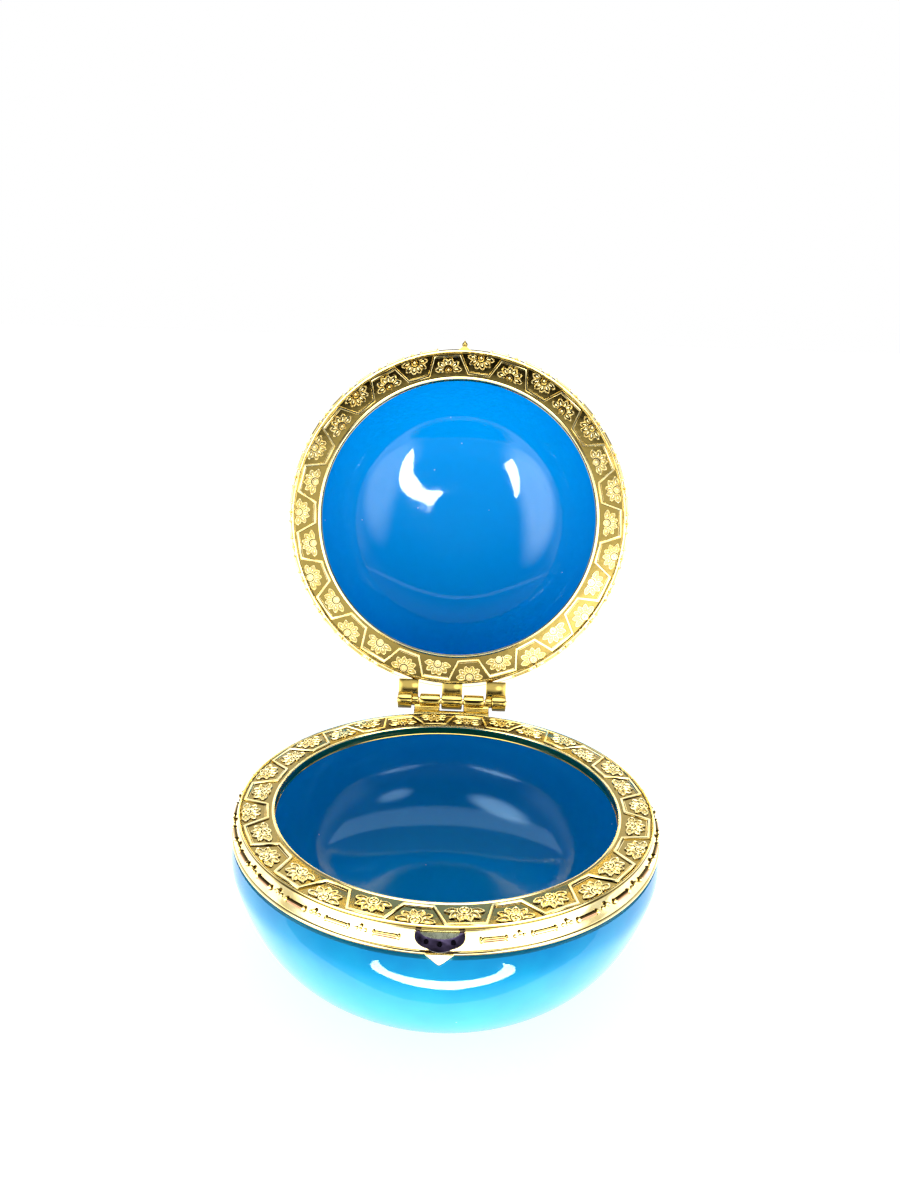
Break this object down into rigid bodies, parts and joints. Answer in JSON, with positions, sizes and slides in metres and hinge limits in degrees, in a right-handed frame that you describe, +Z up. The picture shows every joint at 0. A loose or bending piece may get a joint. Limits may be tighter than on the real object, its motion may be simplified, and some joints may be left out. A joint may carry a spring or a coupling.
{
  "type": "macaron trinket box",
  "caption": "Round hinged trinket box: two glazed bowls in gilt rims with daisy panels, an open lid and a small front clasp.",
  "frame": {"origin": "centre of the flat underside of the base bowl", "axes": "+Z up through the base opening, -Y towards the clasp at the front, +Y towards the hinge, +X to the right of someone facing the clasp"},
  "size_m": [0.0688, 0.1076, 0.0933],
  "materials": {
    "base_glaze": "gloss",
    "lid_glaze": "gloss",
    "gilt": "polished",
    "pin_brass": "satin",
    "dark_gilt": "polished"
  },
  "bodies": {
    "base": {"base_bowl": "base_glaze", "base_rim": "gilt", "hinge_pin": "pin_brass", "clasp_tab": "dark_gilt"},
    "lid": {"lid_bowl": "lid_glaze", "lid_rim": "gilt"}
  },
  "joints": [
    {"name": "lid_hinge", "type": "hinge", "parent": "base", "child": "lid", "pos_m": [0, 0.03672, 0.02473], "axis": [1, 0, 0], "range_deg": [0, 106.38]}
  ]
}
